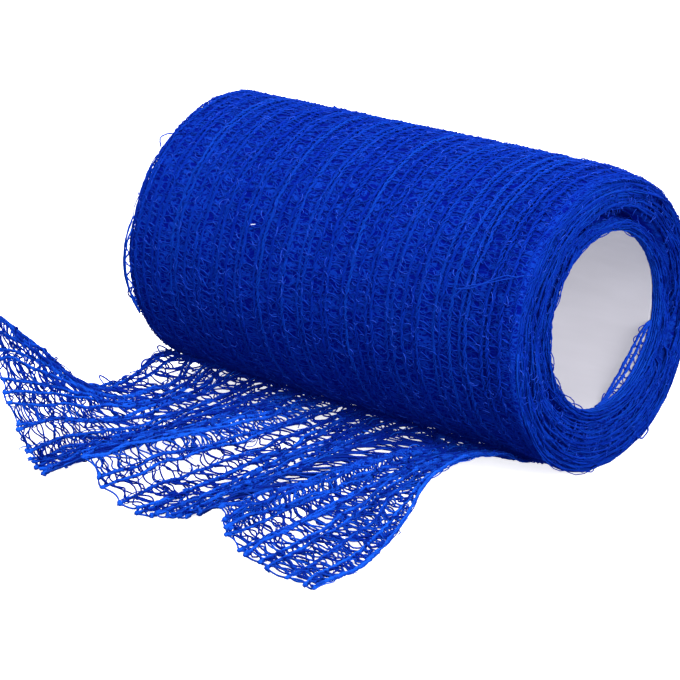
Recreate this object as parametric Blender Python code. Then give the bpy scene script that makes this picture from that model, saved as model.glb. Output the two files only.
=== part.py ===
"""Cohesive bandage roll: an open knitted bandage wound on a white tube.

Metres, +Z up. The roll's axis lies along X, with the end whose bore shows at +X. The
loose end runs out towards -Y. The origin is the middle of the small flat spot on which
the roll rests.
"""
import math

import bmesh
import bpy
from mathutils import Vector

MM = 0.001

# ---- driving dimensions -------------------------------------------------------------
ROLL_LENGTH = 100.0 * MM     # width of the wound bandage, end face to end face
ROLL_RADIUS = 29.6 * MM      # over the outermost turn
SETTLE = 0.4 * MM            # how far the roll has flattened where it rests
CORE_LENGTH = 95.0 * MM      # the tube is a little shorter than the roll
CORE_BORE = 17.4 * MM        # inner radius of the tube
CORE_WALL = 1.1 * MM
FIT_GAP = 0.3 * MM           # between solids that touch on the real roll
LIP_RADIUS = 17.5 * MM       # inner radius of the fabric where it covers the tube's rim
CLOTH = 1.0 * MM             # thickness of one turn of the bandage as a solid

AXIS_HEIGHT = ROLL_RADIUS - SETTLE
TURNING_STEPS = 72           # faces round the roll
CORE_STEPS = 64              # faces round the tube

# ---- end faces of the roll ----------------------------------------------------------
# Each row is one ring of the end face, from the bore outwards. "inset" is how far the
# ring lies inside the plane of the roll's end, "drift" is how much that depth wanders
# once round, and "groove" is how much deeper the ring lies where the turns have parted.
END_COLUMNS = ("radius", "inset", "drift", "groove")
VISIBLE_END = (
    (17.5, 1.3, 0.0, 0.0),
    (18.1, 0.5, 0.1, 0.0),
    (19.3, 0.3, 0.2, 0.0),
    (20.0, 0.8, 0.3, 0.4),
    (20.4, 1.3, 0.3, 3.4),
    (21.3, 1.3, 0.3, 3.6),
    (22.0, 0.7, 0.4, 0.2),
    (23.4, 0.2, 0.5, 0.0),
    (24.6, 0.7, 0.5, 0.0),
    (25.8, 0.4, 0.5, 0.0),
    (26.9, 0.9, 0.5, 0.0),
    (28.0, 1.0, 0.6, 0.0),
    (28.7, 2.3, 0.7, 0.0),
    (29.2, 4.4, 0.7, 0.0),
    (29.5, 7.2, 0.7, 0.0),
)
HIDDEN_END = (
    (17.5, 1.3, 0.0, 0.0),
    (18.2, 0.5, 0.1, 0.0),
    (19.8, 0.3, 0.3, 0.0),
    (21.4, 0.9, 0.4, 0.0),
    (23.2, 0.4, 0.5, 0.0),
    (25.0, 0.9, 0.5, 0.0),
    (26.8, 0.5, 0.6, 0.0),
    (28.2, 0.3, 0.6, 0.0),
    (29.2, -0.3, 0.6, 0.0),
    (29.6, 0.8, 0.6, 0.0),
)
DRIFT_WAVES = ((2.0, 1.7, 0.6), (3.0, 2.9, 0.36))   # waves a turn, phase step a ring, share
END_TILT = 1.6 * MM          # the visible end stands out more at the lower far side
END_TILT_AT = math.radians(-35.0)
TUCK = 1.3 * MM              # the hidden end's outer turns are drawn in at the upper near side
TUCK_AT = math.radians(120.0)
TUCK_RADIUS = 27.0           # in mm, from where outwards
GROOVE_FROM = math.radians(-32.0)   # the parted turns, as angles from +Y towards +Z
GROOVE_TO = math.radians(100.0)
GROOVE_FADE = math.radians(22.0)
GROOVE_DRIFT = 1.6 * MM      # the groove moves outwards towards its lower end
GROOVE_DRIFT_FROM = math.radians(20.0)
GROOVE_DRIFT_SPAN = math.radians(50.0)

# ---- the loose end ------------------------------------------------------------------
# Each row is one warp yarn that runs down a crest or a trough, or along a selvedge.
# "share" is its place across the width, "roll_x" and "cut_x" its place along the roll's
# axis where it leaves the roll and at the cut end, "leaves" the angle up the roll where
# it comes off, "cut_out" how far out it is cut, and h20 to h80 its height above the
# table at 20 to 80 mm out from the roll's axis. Lengths in mm, angle in degrees.
FOLD_COLUMNS = ("share", "roll_x", "cut_x", "leaves", "cut_out",
                "h20", "h32", "h44", "h56", "h68", "h80")
FOLDS = (
    (0.00, -49.0, -48.0, 38.0, 71.5, 5.4, 2.6, 6.4, 17.4, 26.6, 31.8),    # left selvedge
    (0.14, -36.5, -40.5, 34.0, 73.5, 3.8, 2.4, 3.6, 9.0, 14.2, 17.6),     # curled strip
    (0.20, -31.0, -36.0, 31.0, 75.0, 3.4, 2.4, 2.4, 4.2, 6.8, 8.4),
    (0.26, -25.5, -30.5, 29.0, 76.0, 3.2, 2.6, 1.8, 0.8, 0.3, 0.0),       # first trough
    (0.34, -18.0, -21.5, 28.0, 77.5, 3.2, 3.2, 3.0, 3.0, 3.2, 3.6),
    (0.42, -10.0, -12.0, 28.0, 79.0, 3.2, 4.0, 5.2, 6.6, 7.8, 8.4),       # first crest
    (0.47, -5.3, -8.3, 28.0, 79.5, 2.8, 2.6, 2.8, 3.0, 3.2, 3.6),
    (0.55, 2.5, 0.0, 27.0, 77.0, 2.4, 1.6, 1.0, 0.4, 0.0, 0.0),           # second trough
    (0.67, 14.0, 10.0, 27.0, 77.5, 2.6, 3.0, 2.8, 2.4, 2.2, 2.2),
    (0.79, 26.5, 21.5, 27.0, 79.5, 3.4, 5.6, 6.4, 6.4, 6.8, 7.2),         # second crest
    (0.83, 29.5, 24.5, 27.0, 81.0, 3.4, 4.6, 4.6, 3.8, 3.6, 3.8),
    (0.91, 37.0, 33.0, 26.0, 80.5, 4.2, 6.0, 4.8, 2.0, 0.8, 0.4),         # third trough
    (1.00, 44.0, 47.5, 24.0, 84.0, 5.0, 8.2, 7.6, 2.4, 0.2, 1.6),         # right selvedge
)
HEIGHT_STATIONS = (20, 32, 44, 56, 68, 80)
LEAVING_SPAN = 8.0 * MM      # the sheet settles into its folds over this length
NECK = 2.6                   # in mm, how much the right selvedge is drawn in part-way out
NECK_FROM = 0.7              # share of the width from which it is drawn in
NECK_PEAK = 0.42             # share of the length at which it is drawn in most
CELLS_ACROSS = 46
CELLS_OUT = 22

# ---- the flap in the bore's mouth ---------------------------------------------------
FLAP_FROM = math.radians(-98.0)     # angles from +Y towards +Z
FLAP_TO = math.radians(-14.0)
FLAP_RADIUS = 17.0 * MM      # its folded edge lies just inside the tube
FLAP_DEPTH = 3.9 * MM        # how far it stands into the bore at its middle
FLAP_RIM = 0.7 * MM          # its width where it runs out at each end
FLAP_ROOT_X = 48.4 * MM      # its folded edge, at the bore's mouth
FLAP_DROP = 2.2 * MM         # its free edge lies this much deeper
FLAP_CELLS_ALONG = 14
FLAP_CELLS_ACROSS = 3


def smooth_step(value):
    """0 to 1 with a soft start and a soft end."""
    value = min(max(value, 0.0), 1.0)
    return value * value * (3.0 - 2.0 * value)


def through(stations, values, at):
    """A smooth curve through the values at their stations, read at one place."""
    last = len(stations) - 1
    k = 0
    while k < last - 1 and at > stations[k + 1]:
        k += 1
    slopes = []
    for i in (k, k + 1):
        low = max(i - 1, 0)
        high = min(i + 1, last)
        slopes.append((values[high] - values[low]) / (stations[high] - stations[low]))
    span = stations[k + 1] - stations[k]
    s = (at - stations[k]) / span
    h00 = (1.0 + 2.0 * s) * (1.0 - s) ** 2
    h10 = s * (1.0 - s) ** 2
    h01 = s * s * (3.0 - 2.0 * s)
    h11 = s * s * (s - 1.0)
    return (h00 * values[k] + h01 * values[k + 1]
            + span * (h10 * slopes[0] + h11 * slopes[1]))


def column(table, columns, name):
    """One named column of a table."""
    place = columns.index(name)
    return [row[place] for row in table]


def material(name, colour, roughness):
    """A plain coloured finish."""
    finish = bpy.data.materials.new(name)
    finish.use_nodes = True
    shader = finish.node_tree.nodes["Principled BSDF"]
    shader.inputs["Base Color"].default_value = (*colour, 1.0)
    shader.inputs["Roughness"].default_value = roughness
    shader.inputs["Metallic"].default_value = 0.0
    finish.diffuse_color = (*colour, 1.0)
    return finish


def finish_object(name, work, finish):
    """Turn a finished bmesh into a named object with its finish."""
    bmesh.ops.recalc_face_normals(work, faces=work.faces)
    mesh = bpy.data.meshes.new(name)
    work.to_mesh(mesh)
    work.free()
    mesh.materials.append(finish)
    mesh.shade_smooth()
    mesh.set_sharp_from_angle(angle=math.radians(40.0))
    thing = bpy.data.objects.new(name, mesh)
    bpy.context.scene.collection.objects.link(thing)
    return thing


def turn(profile, steps):
    """Spin a closed profile of (x, radius) points once round the X axis."""
    work = bmesh.new()
    ring = [work.verts.new((x, radius, 0.0)) for x, radius in profile]
    edges = [work.edges.new((ring[i], ring[(i + 1) % len(ring)])) for i in range(len(ring))]
    bmesh.ops.spin(work, geom=ring + edges, cent=(0.0, 0.0, 0.0), axis=(1.0, 0.0, 0.0),
                   angle=2.0 * math.pi, steps=steps, use_merge=True)
    bmesh.ops.remove_doubles(work, verts=work.verts, dist=0.00001)
    return work


def make_core():
    """The white tube, with a small round on both rims."""
    half = CORE_LENGTH / 2.0
    outer = CORE_BORE + CORE_WALL
    round_off = 0.25 * MM
    profile = [
        (-half, CORE_BORE + round_off), (-half, outer - round_off), (-half + round_off, outer),
        (half - round_off, outer), (half, outer - round_off), (half, CORE_BORE + round_off),
        (half - round_off, CORE_BORE), (-half + round_off, CORE_BORE),
    ]
    work = turn(profile, CORE_STEPS)
    bmesh.ops.translate(work, verts=work.verts, vec=(0.0, 0.0, AXIS_HEIGHT))
    return finish_object("core", work, material("core_white", (0.83, 0.83, 0.86), 0.45))


def groove_share(angle):
    """How far open the groove between the turns is at one angle, 0 to 1."""
    opening = smooth_step((angle - GROOVE_FROM) / GROOVE_FADE + 0.5)
    closing = smooth_step((GROOVE_TO - angle) / GROOVE_FADE + 0.5)
    return opening * closing


def end_shift(rows, ring, angle, visible):
    """How far one ring of an end face lies off its plain depth and radius at one angle."""
    row = dict(zip(END_COLUMNS, rows[ring]))
    depth = 0.0
    for waves, phase_step, share in DRIFT_WAVES:
        depth += row["drift"] * MM * share * math.sin(waves * angle + phase_step * ring)
    outward = 0.0
    if visible:
        depth += row["groove"] * MM * groove_share(angle)
        depth -= 0.5 * END_TILT * math.cos(angle - END_TILT_AT)
        if row["groove"] > 0.0:
            lowness = smooth_step((GROOVE_DRIFT_FROM - angle) / GROOVE_DRIFT_SPAN)
            outward = GROOVE_DRIFT * lowness * groove_share(angle)
    elif row["radius"] > TUCK_RADIUS:
        depth += TUCK * max(math.cos(angle - TUCK_AT), 0.0) ** 2
    return depth, outward


def make_roll():
    """The wound bandage: one turned body with its uneven ends and its flat spot."""
    half = ROLL_LENGTH / 2.0
    inside = CORE_BORE + CORE_WALL + FIT_GAP
    shelf = CORE_LENGTH / 2.0 + FIT_GAP
    profile = []
    kinds = []
    for ring, row in enumerate(VISIBLE_END):
        profile.append((half - row[1] * MM, row[0] * MM))
        kinds.append((VISIBLE_END, ring, True))
    for x in (0.5 * half, 0.0, -0.5 * half):
        profile.append((x, ROLL_RADIUS))
        kinds.append(None)
    for ring in reversed(range(len(HIDDEN_END))):
        row = HIDDEN_END[ring]
        profile.append((-half + row[1] * MM, row[0] * MM))
        kinds.append((HIDDEN_END, ring, False))
    for x, radius in ((-shelf, LIP_RADIUS), (-shelf, inside), (shelf, inside), (shelf, LIP_RADIUS)):
        profile.append((x, radius))
        kinds.append(None)
    work = turn(profile, TURNING_STEPS)
    places = {}
    for k, (x, radius) in enumerate(profile):
        places[(round(x * 1e6), round(radius * 1e6))] = kinds[k]
    for vert in work.verts:
        radius = math.hypot(vert.co.y, vert.co.z)
        angle = math.atan2(vert.co.z, vert.co.y)
        kind = places[(round(vert.co.x * 1e6), round(radius * 1e6))]
        if kind is None:
            continue
        depth, outward = end_shift(kind[0], kind[1], angle, kind[2])
        side = 1.0 if kind[2] else -1.0
        vert.co.x -= side * depth
        vert.co.y += outward * math.cos(angle)
        vert.co.z += outward * math.sin(angle)
    for vert in work.verts:
        vert.co.z = max(vert.co.z + AXIS_HEIGHT, 0.0)
    return finish_object("roll", work, material("bandage_blue", (0.010, 0.055, 0.46), 0.8))


def fold_value(name, share):
    """One column of the fold table, read across the width."""
    return through(column(FOLDS, FOLD_COLUMNS, "share"),
                   column(FOLDS, FOLD_COLUMNS, name), share)


def under_side(share, along):
    """A point of the loose end's under side: share across the width, along from 0 to 1."""
    leaves = math.radians(fold_value("leaves", share))
    reach = ROLL_RADIUS + FIT_GAP + CLOTH
    start_out = reach * math.sin(leaves)
    start_height = AXIS_HEIGHT - reach * math.cos(leaves)
    cut_out = fold_value("cut_out", share) * MM
    out = start_out + (cut_out - start_out) * along
    heights = [fold_value("h%d" % station, share) for station in HEIGHT_STATIONS]
    height = through(HEIGHT_STATIONS, heights, out / MM) * MM
    blend = smooth_step((out - start_out) / LEAVING_SPAN)
    height = start_height * (1.0 - blend) + height * blend
    roll_x = fold_value("roll_x", share)
    x = roll_x + (fold_value("cut_x", share) - roll_x) * smooth_step(along)
    necking = math.sin(math.pi * min(0.5 * along / NECK_PEAK, 1.0))
    x -= NECK * smooth_step((share - NECK_FROM) / (1.0 - NECK_FROM)) * necking
    return Vector((x * MM, -out, max(height, 0.0)))


def make_loose_end():
    """The free end: a sheet one turn thick that follows the folds."""
    work = bmesh.new()
    grid = bmesh.ops.create_grid(work, x_segments=CELLS_ACROSS, y_segments=CELLS_OUT, size=0.5)
    for vert in grid["verts"]:
        vert.co = under_side(vert.co.x + 0.5, 0.5 - vert.co.y)
    bmesh.ops.recalc_face_normals(work, faces=work.faces)
    work.normal_update()
    upward = sum(face.normal.z for face in work.faces)
    lift = {}
    for vert in work.verts:
        lift[vert] = vert.normal * math.copysign(CLOTH, upward)
    top = bmesh.ops.extrude_face_region(work, geom=list(work.faces))
    raised = [item for item in top["geom"] if isinstance(item, bmesh.types.BMVert)]
    by_place = {}
    for vert, move in lift.items():
        by_place[tuple(round(value * 1e7) for value in vert.co)] = move
    for vert in raised:
        vert.co += by_place[tuple(round(value * 1e7) for value in vert.co)]
    return finish_object("loose_end", work, material("bandage_blue_loose", (0.012, 0.075, 0.5), 0.8))


def make_inner_flap():
    """The strip of the innermost selvedge that has dropped into the bore's mouth."""
    work = bmesh.new()
    grid = bmesh.ops.create_grid(work, x_segments=FLAP_CELLS_ALONG,
                                 y_segments=FLAP_CELLS_ACROSS, size=0.5)
    for vert in grid["verts"]:
        along = vert.co.x + 0.5
        across = vert.co.y + 0.5
        angle = FLAP_FROM + (FLAP_TO - FLAP_FROM) * along
        width = FLAP_RIM + (FLAP_DEPTH - FLAP_RIM) * math.sin(math.pi * along)
        radius = FLAP_RADIUS - width * across
        depth = FLAP_DROP * across * math.sin(math.pi * along)
        vert.co = (FLAP_ROOT_X - depth, radius * math.cos(angle),
                   AXIS_HEIGHT + radius * math.sin(angle))
    top = bmesh.ops.extrude_face_region(work, geom=list(work.faces))
    raised = [item for item in top["geom"] if isinstance(item, bmesh.types.BMVert)]
    bmesh.ops.translate(work, verts=raised, vec=(-CLOTH, 0.0, 0.0))
    return finish_object("inner_flap", work, material("bandage_blue_flap", (0.014, 0.09, 0.55), 0.8))


def clear_scene():
    """Start from an empty scene."""
    for thing in list(bpy.data.objects):
        bpy.data.objects.remove(thing, do_unlink=True)


clear_scene()
make_core()
make_roll()
make_loose_end()
make_inner_flap()
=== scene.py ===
# %% [markdown]
# # An open-knit bandage roll, yarn by yarn
# This lesson dresses a roll of blue cohesive bandage. The real thing is a net: springy
# ribs run round the roll, thin curly yarns are laid in between them, and more than two
# metres of it are wound on a white tube. The frame below holds plain solids of the
# right size. We put real yarns where they are, and keep every size that they give.
# Everything is in metres, with the roll's axis along X and the table at Z = 0.

# %% Load the fixed frame
import math

import bpy
import numpy as np
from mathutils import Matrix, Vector


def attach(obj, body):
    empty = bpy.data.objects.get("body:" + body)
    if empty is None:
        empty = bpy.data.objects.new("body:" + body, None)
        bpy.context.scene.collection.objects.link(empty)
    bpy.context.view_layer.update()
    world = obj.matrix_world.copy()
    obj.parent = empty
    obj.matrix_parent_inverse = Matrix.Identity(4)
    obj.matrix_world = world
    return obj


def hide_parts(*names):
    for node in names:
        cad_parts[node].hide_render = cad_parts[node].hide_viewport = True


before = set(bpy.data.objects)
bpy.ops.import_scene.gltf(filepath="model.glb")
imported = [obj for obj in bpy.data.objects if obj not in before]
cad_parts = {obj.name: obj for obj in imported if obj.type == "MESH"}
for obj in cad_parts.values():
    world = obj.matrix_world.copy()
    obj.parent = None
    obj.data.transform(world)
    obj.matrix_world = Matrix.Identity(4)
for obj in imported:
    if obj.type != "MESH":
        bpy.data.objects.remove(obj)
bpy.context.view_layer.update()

bpy.ops.object.select_all(action="DESELECT")
print("nodes:", sorted(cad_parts))

# %% [markdown]
# ## Driving sizes
# A net like this is described by few numbers: which needles of the knitting machine
# carry a rib (a maker calls the ribs warps), how thick they are, how far apart the
# laid-in yarns (the wefts) cross between them, and how much the roll's radius grows
# with a turn. Here the needles stand 1.28 mm apart, and of every nine only five are
# threaded: two side by side, one alone, two side by side, and then a wide gap.

# %% Sizes of the roll and of its yarns
MM = 0.001
ROLL_HALF = 50.0 * MM
ROLL_RADIUS = 29.6 * MM
AXIS_HEIGHT = 29.2 * MM
CORE_HALF = 47.5 * MM
CORE_BORE = 17.4 * MM
CORE_WALL = 1.1 * MM
TURN_PITCH = 0.72 * MM       # how far apart two turns lie
NEEDLES = 78                 # needles across the width
NEEDLE_REPEAT = 9
THREADED = (0, 1, 3, 5, 6)   # the needles of each repeat that carry a rib
STRANDS = 3                  # a rib is a chain of stitches, which looks like a loose plait
STRAND = 0.19 * MM           # radius of one strand of a rib
STRAND_APART = 0.13 * MM     # how far each strand lies from the middle of its rib
STRAND_PITCH = 4.2 * MM      # one twist of a rib's strands
RIB_RADIUS = STRAND + STRAND_APART
WEFT = 0.12 * MM             # radius of a laid-in yarn
RUNG_EVERY = 1.3 * MM        # distance between the crossings of a laid-in yarn
FULL_TURN = 2.0 * math.pi
RIB_SHARE = np.array([k / NEEDLES for k in range(NEEDLES + 1) if k % NEEDLE_REPEAT in THREADED])
WARPS = len(RIB_SHARE)
print(WARPS, "ribs, about", round((ROLL_RADIUS - CORE_BORE - CORE_WALL) / TURN_PITCH), "turns")

# %% [markdown]
# ## The camera
# The photograph was taken from a little above, past the roll's right-hand end. A long
# lens keeps the two ends nearly the same size. The place and the aim were found by
# matching the roll's outline, so they are fixed numbers here, in metres.

# %% Camera at the photograph's angle
PHOTO_SIDE = 680             # pixels, the photograph is square
FOCAL_PIXELS = 2700.0
SENSOR = 36.0                # in mm
CAMERA_PLACE = Vector((0.32394, -0.40539, 0.19414))
CAMERA_AIM = Vector((-0.01742, 0.0, 0.01059))

lens_data = bpy.data.cameras.new("photo_view")
lens_data.sensor_width = SENSOR
lens_data.lens = SENSOR * FOCAL_PIXELS / PHOTO_SIDE
lens_data.clip_start = 0.01
lens_data.clip_end = 20.0
camera = bpy.data.objects.new("photo_view", lens_data)
camera.location = CAMERA_PLACE
camera.rotation_euler = (CAMERA_AIM - CAMERA_PLACE).to_track_quat("-Z", "Y").to_euler()
bpy.context.scene.collection.objects.link(camera)
bpy.context.scene.camera = camera
print("lens", round(lens_data.lens, 1), "mm")

# %% [markdown]
# ## Shader maths as plain expressions
# A material is a small program made of nodes. Wiring them by hand is slow to read, so
# one class wraps a socket and lets us write sums: `1.0 - mask * 0.5` adds the Math
# nodes by itself. Colours go through Mix nodes, because a Math node turns them grey.

# %% Helpers for materials
class Wire:
    """One output socket. Sums written with it add Math nodes to its tree."""

    def __init__(self, tree, socket):
        self.tree = tree
        self.socket = socket

    def math(self, operation, *terms):
        return node(self.tree, "ShaderNodeMath", {"operation": operation}, dict(enumerate(terms)))

    def __add__(self, other):
        return self.math("ADD", self, other)

    def __sub__(self, other):
        return self.math("SUBTRACT", self, other)

    def __rsub__(self, other):
        return self.math("SUBTRACT", other, self)

    def __mul__(self, other):
        return self.math("MULTIPLY", self, other)

    def __truediv__(self, other):
        return self.math("DIVIDE", self, other)

    def __pow__(self, other):
        return self.math("POWER", self, other)

    def sine(self):
        return self.math("SINE", self)

    def absolute(self):
        return self.math("ABSOLUTE", self)

    def larger(self, other):
        return self.math("MAXIMUM", self, other)

    def within(self, low, high):
        """0 below low, 1 above high, soft between."""
        return node(self.tree, "ShaderNodeMapRange", {"interpolation_type": "SMOOTHSTEP"},
                    {"Value": self, "From Min": low, "From Max": high})

    def mix(self, low, high):
        """A colour between two colours, with this value as the share of the second."""
        return node(self.tree, "ShaderNodeMix", {"data_type": "RGBA"}, {0: self, 6: low, 7: high}, 2)

    def parts(self):
        """The x, y and z of a place."""
        split = node(self.tree, "ShaderNodeSeparateXYZ", {}, {"Vector": self}).socket.node
        return [Wire(self.tree, socket) for socket in split.outputs]

    __radd__ = __add__
    __rmul__ = __mul__


def fill(made, values):
    """Give a node's sockets their values: wires are linked, plain values written on them."""
    for name, value in values.items():
        if isinstance(value, Wire):
            value.tree.links.new(value.socket, made.inputs[name])
        else:
            made.inputs[name].default_value = value


def node(tree, kind, settings=None, values=None, output=0):
    """Add a node: its settings first, then the values or links of its sockets."""
    made = tree.nodes.new(kind)
    for name, value in (settings or {}).items():
        setattr(made, name, value)
    fill(made, values or {})
    return Wire(tree, made.outputs[output])


def noise(place, size, detail=2.0):
    """Cloudy noise of one size in metres, 0 to 1."""
    return node(place.tree, "ShaderNodeTexNoise", {},
                {"Vector": place, "Scale": 1.0 / size, "Detail": detail})


def bump(height, strength, depth):
    """A normal that follows a height; depth is how much a height of 1 stands for."""
    return node(height.tree, "ShaderNodeBump", {},
                {"Strength": strength, "Distance": depth, "Height": height})


def colour(red, green, blue):
    """A screen colour of 0 to 255 a channel, as the linear colour of a socket."""
    parts = [value / 255.0 for value in (red, green, blue)]
    return (*(p / 12.92 if p <= 0.04045 else ((p + 0.055) / 1.055) ** 2.4 for p in parts), 1.0)


def new_finish(name):
    """A new material: itself, its Principled shader, and each point's place in its object."""
    finish = bpy.data.materials.new(name)
    finish.use_nodes = True
    tree = finish.node_tree
    place = node(tree, "ShaderNodeTexCoord", {}, {}, "Object")
    return finish, tree.nodes["Principled BSDF"], place


# %% [markdown]
# ## The yarn's finish
# The bandage is matte royal blue, a little uneven along each yarn, with the fine
# bristle of a texturised thread that catches light at its edges. The base colour
# mixes a deep and a bright blue by three things: how light this yarn is as a whole
# (an attribute that each mesh carries), soft noise along it, and its twist, which is
# read from the yarn's own UV map so that it follows every bend. That attribute also
# carries painted shade: a tone below 0 marks a yarn down in a groove, and fades it to
# a darker blue. A faint blue glow is painted in to lift the shade in the gaps. Sheen
# gives the pale fuzzy rim. Each value that stays the same all over sits on the
# shader's own socket.

# %% Yarn material
TWIST_SIZE = 0.55 * MM       # one turn of the ply
CLOUD_SIZE = 1.6 * MM
BRISTLE_SIZE = 0.16 * MM
# Painted shade: the darker blue of yarns that lie down in a groove.
PAINTED_SHADE_BLUE = colour(1, 14, 84)
PALE_SHEEN = colour(70, 120, 255)
# Painted glow: a faint blue emission on the yarns and the body lifts the shade in the gaps.
MATTE_AND_GLOW = {"Specular IOR Level": 0.02, "Emission Strength": 1.0,
         "Emission Color": (0.0, 0.001, 0.028, 1.0)}   # the little light that scatters inside


def yarn_finish(name, deep, bright, sheen):
    finish, shader, place = new_finish(name)
    tone = node(place.tree, "ShaderNodeAttribute", {"attribute_name": "tone"}, {}, "Fac")
    along, around, _ = node(place.tree, "ShaderNodeUVMap", {"uv_map": "yarn"}).parts()
    ply = ((along / TWIST_SIZE + around) * FULL_TURN).sine() * 0.5 + 0.5
    bristle = noise(place, BRISTLE_SIZE, 3.0)
    share = tone * 0.9 + noise(place, CLOUD_SIZE) * 0.4 + ply * 0.12 + bristle * 0.25 - 0.38
    blue = share.within(0.0, 1.0).mix(deep, bright)
    # A tone below 0 fades the yarn to the painted shade of the groove.
    fill(shader, {"Base Color": (tone + 1.0).within(0.0, 1.0).mix(PAINTED_SHADE_BLUE, blue),
                  "Roughness": 0.62 + bristle * 0.3,
                  "Normal": bump(ply * 0.6 + bristle, 0.5, 0.06 * MM),
                  "Sheen Weight": sheen, "Sheen Roughness": 0.4, "Sheen Tint": PALE_SHEEN, **MATTE_AND_GLOW})
    return finish


warp_blue = yarn_finish("warp_blue", colour(3, 33, 140), colour(10, 60, 166), 0.04)
weft_blue = yarn_finish("weft_blue", colour(4, 30, 138), colour(14, 60, 170), 0.05)
# The loose end's copy of the yarn blue: its bright end is brighter than the roll's, a painted light for the
# table's bounce, and its deep end darker, for the painted shade beside the roll.
loose_lit_shaded_blue = yarn_finish("loose_lit_shaded_blue", colour(3, 26, 122), colour(18, 81, 200), 0.06)
fuzz_blue = yarn_finish("fuzz_blue", colour(10, 52, 172), colour(42, 80, 204), 0.08)
lint_pale = yarn_finish("lint_pale", colour(150, 172, 230), colour(236, 240, 255), 0.1)
print("yarn finishes made")

# %% [markdown]
# ## Many yarns as one joined mesh
# A rib could be a curve with a round bevel, but thousands of curves are slow. Here one
# function sweeps a small ring of corners along many centre lines at once, as arrays,
# and joins the tubes in one mesh. Three or four sides are enough for a yarn that is
# half a millimetre thick. Ends are capped, so every yarn is a closed tube.

# %% Sweep tubes along centre lines
def unit(vectors):
    """The same directions with length 1."""
    return vectors / np.maximum(np.linalg.norm(vectors, axis=-1, keepdims=True), 1e-12)


class Skein:
    """Collects tubes and makes one mesh of them."""

    def __init__(self, name):
        self.name = name
        self.points = []
        self.tones = []
        self.faces = []
        self.maps = []
        self.count = 0

    def add(self, lines, thickness, sides, facing, tone):
        """lines is (yarns, points, 3); thickness, the radius, and tone fit (yarns, points)."""
        yarns, stops, _ = lines.shape
        ahead = unit(np.gradient(lines, axis=1))
        across = unit(np.cross(ahead, np.broadcast_to(facing, lines.shape)))
        upward = np.cross(across, ahead)
        side = np.arange(sides)
        turn = (FULL_TURN * side / sides)[:, None]
        ring = np.cos(turn) * upward[:, :, None] + np.sin(turn) * across[:, :, None]
        thickness = np.broadcast_to(thickness, (yarns, stops))[..., None, None]
        self.points.append((lines[:, :, None] + thickness * ring).reshape(-1, 3))
        self.tones.append(np.repeat(np.broadcast_to(tone, (yarns, stops)).reshape(-1), sides))
        first = self.count + np.arange(yarns * stops).reshape(yarns, stops, 1) * sides
        beside = (side + 1) % sides
        self.faces.append(np.stack([first[:, :-1] + side, first[:, :-1] + beside,
                                    first[:, 1:] + beside, first[:, 1:] + side], -1).reshape(-1, 4))
        self.faces.append(np.concatenate([first[:, 0] + side[::-1], first[:, -1] + side]))
        steps = np.linalg.norm(np.diff(lines, axis=1), axis=2)
        reach = np.concatenate([np.zeros((yarns, 1)), np.cumsum(steps, 1)], 1)[..., None] + 0.0 * side
        near = reach[:, :-1]
        far = reach[:, 1:]
        low = side / sides + 0.0 * near
        high = low + 1.0 / sides
        self.maps.append(np.stack([near, low, near, high, far, high, far, low], -1).reshape(-1, 2))
        ends = np.concatenate([reach[:, 0], reach[:, -1]])
        self.maps.append(np.stack([ends, side / sides + 0.0 * ends], -1).reshape(-1, 2))
        self.count += yarns * stops * sides

    def piece(self, finish):
        """One mesh object of all the tubes, riding on the root."""
        mesh = bpy.data.meshes.new(self.name)
        points = np.concatenate(self.points)
        mesh.vertices.add(len(points))
        mesh.vertices.foreach_set("co", points.ravel())
        corners = np.concatenate([faces.ravel() for faces in self.faces])
        sizes = np.concatenate([np.full(len(faces), faces.shape[1]) for faces in self.faces])
        mesh.loops.add(len(corners))
        mesh.loops.foreach_set("vertex_index", corners.astype(np.int32))
        mesh.polygons.add(len(sizes))
        starts = np.concatenate([[0], np.cumsum(sizes)[:-1]])
        mesh.polygons.foreach_set("loop_start", starts.astype(np.int32))
        mesh.update(calc_edges=True)
        yarn_map = mesh.uv_layers.new(name="yarn")
        yarn_map.data.foreach_set("uv", np.concatenate(self.maps).ravel())
        tone = mesh.attributes.new("tone", "FLOAT", "POINT")
        tone.data.foreach_set("value", np.concatenate(self.tones).astype(np.float32))
        mesh.shade_smooth()
        mesh.materials.append(finish)
        thing = bpy.data.objects.new(self.name, mesh)
        bpy.context.scene.collection.objects.link(thing)
        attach(thing, "root")
        print(self.name, "-", int((sizes - 2).sum()), "triangles")
        return thing


# %% [markdown]
# ## Unevenness
# Hand-laid cloth is never even. A yarn drifts slowly sideways, so plain random numbers
# won't do: they jump. We draw a few random knots along the yarn and pass softly from
# one to the next. The seed is fixed, so the roll comes out the same each time.

# %% Slow random drift
chance = np.random.default_rng(20)


def soft(value):
    """0 to 1 with a soft start and a soft end."""
    value = np.clip(value, 0.0, 1.0)
    return value * value * (3.0 - 2.0 * value)


def drift(yarns, places, every, size):
    """A slow random value for each yarn at each place, with a new knot every so far."""
    stop = places / every
    knot = stop.astype(int)
    part = soft(stop - knot)
    knots = chance.normal(0.0, size, (yarns, knot.max() + 2))
    return knots[:, knot] * (1.0 - part) + knots[:, knot + 1] * part


# %% [markdown]
# ## The white tube
# The tube in the bore is smooth white plastic with thin walls. By hand one would add a
# cylinder, inset both ends by the wall, bridge the two inner faces into a bore and
# round the four rims. That is what these operators do. The end faces are found by
# their normals, because after a primitive is added everything on it is selected.

# %% Model the tube
def report(thing):
    """Say how many triangles a piece has."""
    print(thing.name, "-", sum(len(face.vertices) - 2 for face in thing.data.polygons), "triangles")


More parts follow.
